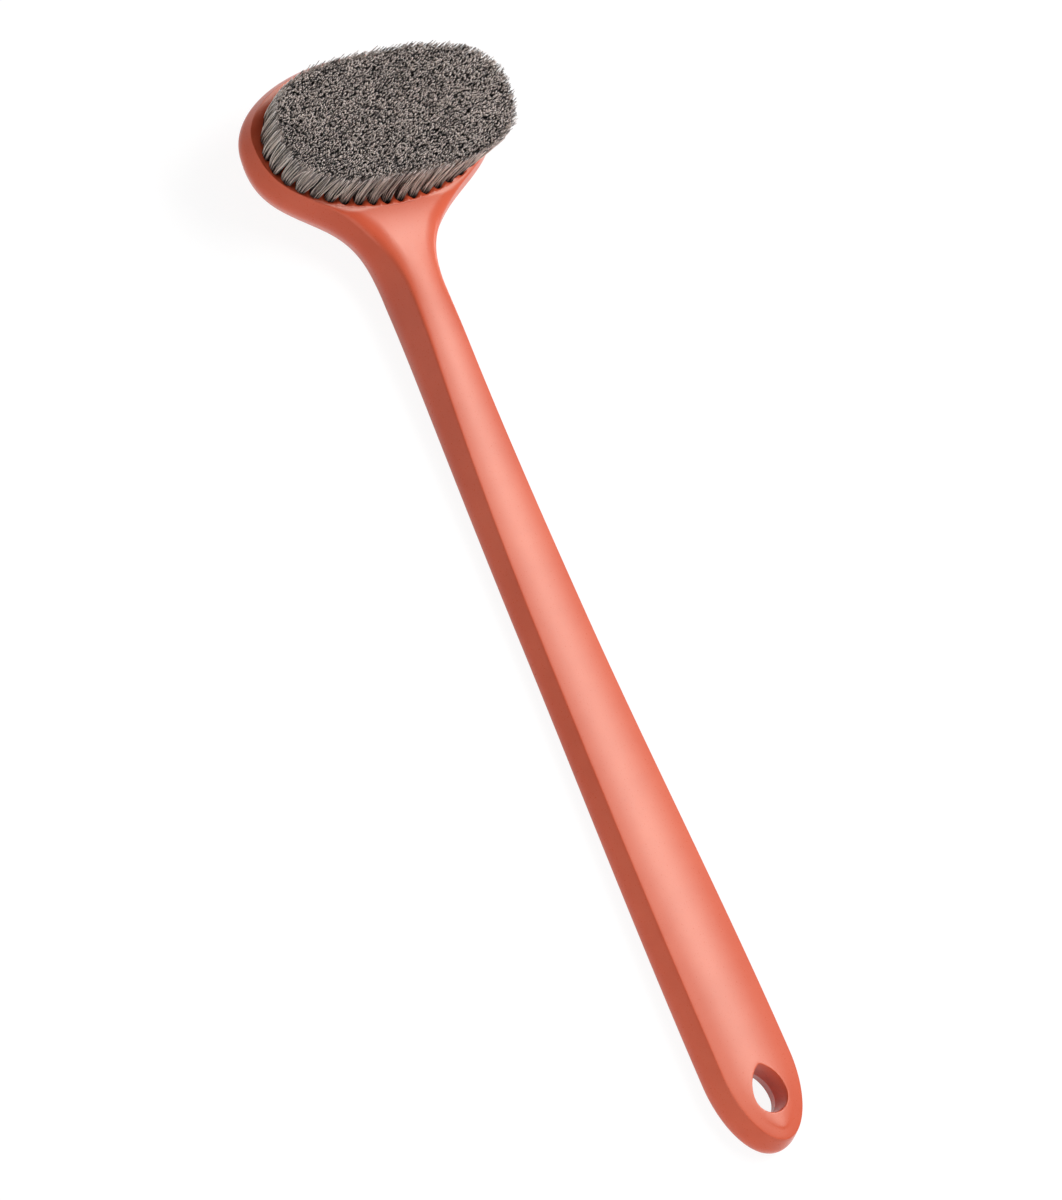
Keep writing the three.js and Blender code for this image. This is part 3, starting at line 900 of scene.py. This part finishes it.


# Every fibre's root and tip in the head frame, its tuft, its tone with painted shade on the fibres that end
# low, and how sheltered it stands. The way to the edge along a ray from the middle is |p| * (1 / e - 1),
# where e is the share of the oval that the tip is at.
def fibreField():
    draws = np.random.default_rng(bristle["seed"])
    tips, level = scatterTips(bristle["spacing"], draws)
    middle = np.array([0.0, bristle["tipShift"]])
    share = np.maximum(level, tiny) ** (1 / bristle["tipFullness"])
    toEdge = np.linalg.norm(tips - middle, axis=1) * (1 / share - 1)
    shelter = smoothShare(toEdge, *bristle["shelter"])
    clumps = scatterTips(bristle["clumpSpacing"], draws, grown=bristle["clumpSpacing"])[0]
    clump = np.concatenate([nearest(part, clumps) for part in np.array_split(tips, bristle["searchParts"])])
    tuft = nearest(tips, tuftTips)
    kept, loose = bristle["rootSpread"]
    spread = (tips - tuftTips[tuft]) * kept + draws.normal(0, loose, tips.shape)
    reach = np.linalg.norm(spread, axis=1, keepdims=True)
    roots = tuftRoots[tuft] + spread * np.minimum(1, bristle["rootRadius"] / np.maximum(reach, tiny))
    tips = mix(tips, clumps[clump], bristle["clumpPull"])
    outwards = (tips - middle) / np.array([tipHalfWidth, tipHalfLength])
    outwards /= np.linalg.norm(outwards, axis=1, keepdims=True)
    stray = (draws.uniform(0, 1, len(tips)) < bristle["strayShare"]) * (1 - shelter)
    splay = draws.exponential(bristle["splay"], len(tips)) * (1 - shelter)
    splay += draws.uniform(0, bristle["strayBy"], len(tips)) * stray
    tips = tips + outwards * splay[:, None]
    height = bristle["height"] - bristle["unevenness"] + draws.normal(0, bristle["unevenness"], len(tips))
    height = height + draws.uniform(0, bristle["strayBy"] / 2, len(tips)) * stray
    short = draws.uniform(0, 1, len(tips)) < bristle["shortShare"]
    drop = short * draws.exponential(bristle["shortBy"], len(tips)) * shelter
    height = height - drop
    tone = draws.normal(*bristle["tone"], len(tips))
    tone += draws.normal(0, bristle["tuftTone"], len(tuftTips))[tuft]
    tone += draws.normal(0, bristle["edgeTone"], len(tips)) * (1 - shelter)
    # painted shade: a fibre that ends low is darkened as if shaded in its pit
    tone = np.clip(tone - bristle["pitShade"] * np.minimum(drop, 1), 0, 1)
    start = atHeight(roots, field["proud"] - bristle["rootDepth"])
    finish = np.column_stack([tips, height])
    return start, finish, tuft, tone, shelter


# Three-sided fibres from root to tip: straight up their bore, then fanning out with a slight random bow. A
# fibre's painted shade lifts evenly along its length on the flanks, and only at its very tip in the thick of
# the field.
def fibreMesh(start, finish, tone, shelter, sections, draws):
    n = len(start)
    t = np.array(sections)
    rise = mix(start[:, None, 2], finish[:, None, 2], t[None])
    past = np.clip((rise - field["proud"]) / (finish[:, None, 2] - field["proud"]), 0, 1)
    flat = mix(start[:, None, :2], finish[:, None, :2], (past ** bristle["fan"])[..., None])
    bow = draws.normal(0, bristle["bow"], (n, 1, 2)) * np.sin(np.pi * past)[..., None]
    line = np.concatenate([flat + bow, rise[..., None]], axis=2)
    turn = draws.uniform(0, 2 * np.pi, (n, 1, 1)) + np.array([0, 2, 4]) * np.pi / 3
    rootThick, outerThick, innerThick = bristle["thickness"]
    thick = mix(rootThick, mix(outerThick, innerThick, shelter)[:, None], t[None])
    thick = thick[..., None] / 2 * draws.uniform(*bristle["thickRange"], (n, 1, 1))
    ring = np.stack([thick * np.cos(turn), thick * np.sin(turn), 0 * thick * turn], axis=-1)
    points = line[:, :, None] + ring
    levels = len(t)
    numbers = np.arange(levels * 3).reshape(levels, 3)
    sides = gridFaces(numbers, wrap=True)
    shift = (np.arange(n) * levels * 3)[:, None, None]
    quads = (sides[None] + shift).reshape(-1, 4)
    caps = (numbers[-1][None, None] + shift).reshape(-1, 3)
    # painted shade: a sheltered fibre stays dark until near its tip, while an open one lightens evenly from
    # its root
    gained, tipFrom = bristle["hidden"]
    hidden = gained * t + (1 - gained) * smoothShare(t, tipFrom, 1.0)
    paintedLight = mix(t[None], hidden[None], shelter[:, None])
    paintedLight = np.repeat(paintedLight.ravel(), 3)
    tonesWithPitShade = np.repeat(tone, levels * 3)
    return points.reshape(-1, 3), quads, caps, paintedLight, tonesWithPitShade


# The bake's map: a strip for every fibre, placed across by the fibre's tone and running up with its painted
# light
def addFibreMap(mesh, quads, caps, paintedLight, tonesWithPitShade):
    strip = bristle["mapStrip"]
    sideways = np.tile([0, 1, 1, 0], len(quads)) * strip
    u = tonesWithPitShade[quads.ravel()] * (1 - strip) + sideways
    v = paintedLight[quads.ravel()]
    capU = tonesWithPitShade[caps.ravel()] * (1 - strip) + np.tile([0, 1, 0.5], len(caps)) * strip
    capV = paintedLight[caps.ravel()] - np.tile([0, 0, 1], len(caps)) * strip
    layer = mesh.uv_layers.new(name="OFBake")
    both = np.stack([np.concatenate([u, capU]), np.concatenate([v, capV])], axis=1)
    layer.data.foreach_set("uv", both.ravel().astype(np.float32))


# One piece of fibres for each outer tuft, each inner ring and the middle row
def growBristles():
    material = nylonFibre()
    start, finish, tuft, tone, shelter = fibreField()
    draws = np.random.default_rng(bristle["seed"] + 1)
    side, inner = bristle["sideSections"], bristle["innerSections"]
    bundles = [(f"bristles_{i + 1:02d}", tuft == i, f"tuft_{i + 1:02d}", side)
               for i in range(bristle["outerTufts"])]
    for ring in range(1, bristle["rings"]):
        bundles.append((f"bristles_ring_{ring + 1}", tuftRing[tuft] == ring, f"tuft_ring_{ring + 1}", inner))
    bundles.append(("bristles_middle_row", tuftRing[tuft] == bristle["rings"], "tuft_middle_row", inner))
    for name, chosen, node, sections in bundles:
        made = fibreMesh(start[chosen], finish[chosen], tone[chosen], shelter[chosen], sections, draws)
        points, quads, caps, paintedLight, tonesWithPitShade = made
        piece = makePiece(name, fromHead(points) + rowShift, [quads, caps], material)
        for label, values in (("paintedLight", paintedLight), ("tone", tonesWithPitShade)):
            layer = piece.data.attributes.new(label, "FLOAT", "POINT")
            layer.data.foreach_set("value", values.astype(np.float32))
        addFibreMap(piece.data, quads, caps, paintedLight, tonesWithPitShade)
        dress(piece, "bristle", node)
    print("bristles:", len(tone), "fibres in", len(bundles), "pieces")


growBristles()


# Hidden inside: the handle's core and the wires that the tufts are drawn onto keep their own meshes

core = {
    "tints": ((0.35, "#D8D1C3"), (0.65, "#E4DED2")),
    "cloudSize": 9.0,                   # mm
    "cloudDetail": 4.0,
    "roughness": 0.42,
    "ior": 1.49,
}
wire = {
    "colour": "#B4B6BA",
    "markSize": 0.4,                    # marks of the wire drawing, mm
    "markDetail": 2.0,
    "roughness": (0.22, 0.4),
}


# Uncoloured polypropylene, moulded: milky and waxy, slightly cloudy where the melt flowed
def naturalPolypropylene():
    material, tree = newMaterial("natural_polypropylene")
    coords = addNode(tree, "ShaderNodeTexCoord").outputs["Object"]
    cloud = addNode(tree, "ShaderNodeTexNoise", {
        "Vector": coords,
        "Scale": perSize(core["cloudSize"]),
        "Detail": core["cloudDetail"],
    })
    tint = addNode(tree, "ShaderNodeValToRGB", {"Fac": cloud.outputs["Fac"]}, core["tints"])
    shader = addNode(tree, "ShaderNodeBsdfPrincipled", {
        "Base Color": tint.outputs["Color"],
        "Roughness": core["roughness"],
        "IOR": core["ior"],
    })
    addNode(tree, "ShaderNodeOutputMaterial", {"Surface": shader.outputs["BSDF"]})
    return material


# Stainless steel wire, drawn: bright, with fine marks
def drawnSteelWire():
    material, tree = newMaterial("drawn_stainless_steel")
    coords = addNode(tree, "ShaderNodeTexCoord").outputs["Object"]
    marks = addNode(tree, "ShaderNodeTexNoise", {
        "Vector": coords,
        "Scale": perSize(wire["markSize"]),
        "Detail": wire["markDetail"],
    })
    roughness = addNode(tree, "ShaderNodeMapRange", {
        "Value": marks.outputs["Fac"],
        "To Min": wire["roughness"][0],
        "To Max": wire["roughness"][1],
    })
    shader = addNode(tree, "ShaderNodeBsdfPrincipled", {
        "Base Color": hexColour(wire["colour"]),
        "Metallic": 1.0,
        "Roughness": roughness.outputs["Result"],
    })
    addNode(tree, "ShaderNodeOutputMaterial", {"Surface": shader.outputs["BSDF"]})
    return material


# Gives a node's own mesh a material
def finishNode(name, material):
    mesh = frame["nodes"][name].data
    mesh.materials.clear()
    mesh.materials.append(material)


wireSteel = drawnSteelWire()
finishNode("handle_core", naturalPolypropylene())
for name in [*(f"anchor_wire_{i + 1}" for i in range(bristle["rings"])), "anchor_wire_middle"]:
    finishNode(name, wireSteel)
print("inner nodes finished")


# Stage and light

stage = {
    "floor": "#FAFAFA",
    "floorHalf": 3000.0,                # mm
    "white": "#FFFFFF",
    "glow": 1.06,                       # the floor as the camera sees it, with some of its own shading left
    "glowShare": 0.86,
    "fade": (0.35, 0.8),                # between these distances from the middle, m, that shading fades out
    "skyLight": 0.24,
}
lamps = {                               # direction from the middle, distance, sizes across and along, watts
    "strip": ((0.48, 0.0, 0.87), 1.6, (0.34, 0.9), 8.4),
    "softbox": ((0.48, 0.18, 0.86), 1.7, (0.9, 0.9), 13.1),
    "rim": ((0.97, 0.1, 0.2), 1.6, (0.3, 1.0), 6.0),
    "bounce": ((-0.12, -0.97, 0.2), 1.3, (1.2, 0.6), 3.4),
    "fill": ((-0.74, -0.62, 0.25), 0.4, (0.2, 0.2), 0.21),
}


# 1 for rays that show the background itself: from the camera, in a reflection or through a clear piece
def seenDirectly(tree):
    path = addNode(tree, "ShaderNodeLightPath")
    seen = path.outputs["Is Camera Ray"]
    for ray in ("Is Glossy Ray", "Is Transmission Ray"):
        either = addNode(tree, "ShaderNodeMath", {0: seen, 1: path.outputs[ray]}, operation="MAXIMUM")
        seen = either.outputs[0]
    return seen


# Floor that is matt for the light and glows white where it is seen, with the brush's shadow left on it
def buildFloor():
    material, tree = newMaterial("white_floor")
    matt = addNode(tree, "ShaderNodeBsdfDiffuse", {"Color": hexColour(stage["floor"])})
    glow = addNode(tree, "ShaderNodeEmission", {
        "Color": hexColour(stage["white"]),
        "Strength": stage["glow"],
    })
    coords = addNode(tree, "ShaderNodeTexCoord").outputs["Object"]
    away = addNode(tree, "ShaderNodeVectorMath", {0: coords}, operation="LENGTH")
    share = addNode(tree, "ShaderNodeMapRange", {
        "Value": away.outputs["Value"],
        "From Min": stage["fade"][0],
        "From Max": stage["fade"][1],
        "To Min": stage["glowShare"],
        "To Max": 1.0,
    })
    soft = addNode(tree, "ShaderNodeMixShader", {0: share.outputs[0], 1: matt.outputs[0], 2: glow.outputs[0]})
    seen = seenDirectly(tree)
    pick = addNode(tree, "ShaderNodeMixShader", {0: seen, 1: matt.outputs[0], 2: soft.outputs[0]})
    addNode(tree, "ShaderNodeOutputMaterial", {"Surface": pick.outputs[0]})
    half = stage["floorHalf"]
    corners = np.array([[-half, -half, 0], [half, -half, 0], [half, half, 0], [-half, half, 0]])
    floor = makePiece("floor", corners, [np.array([[0, 1, 2, 3]])], material)


# World that is dim as a light and white where it is seen
def buildWorld():
    world = bpy.data.worlds.new("studio")
    bpy.context.scene.world = world
    world.use_nodes = True
    tree = world.node_tree
    tree.nodes.clear()
    strength = addNode(tree, "ShaderNodeMapRange", {
        "Value": seenDirectly(tree),
        "To Min": stage["skyLight"],
        "To Max": 1.0,
    })
    light = addNode(tree, "ShaderNodeBackground", {
        "Color": hexColour(stage["white"]),
        "Strength": strength.outputs[0],
    })
    addNode(tree, "ShaderNodeOutputWorld", {"Surface": light.outputs[0]})


# A soft lamp that faces the middle of the brush, with its sizes across the brush and along it
def addLamp(name, direction, distance, sizes, watts):
    data = bpy.data.lights.new(name, "AREA")
    data.shape = "RECTANGLE"
    data.size, data.size_y = sizes
    data.energy = watts
    away = np.array(direction) / np.linalg.norm(direction)
    side = np.cross((0.0, 1.0, 0.0), away)
    side /= np.linalg.norm(side)
    setPlace(addObject(name, data), side, np.cross(away, side), away, away * distance)


buildFloor()
buildWorld()
for name, settings in lamps.items():
    addLamp(name, *settings)
bpy.context.scene.view_settings.view_transform = "Standard"
print("stage built")
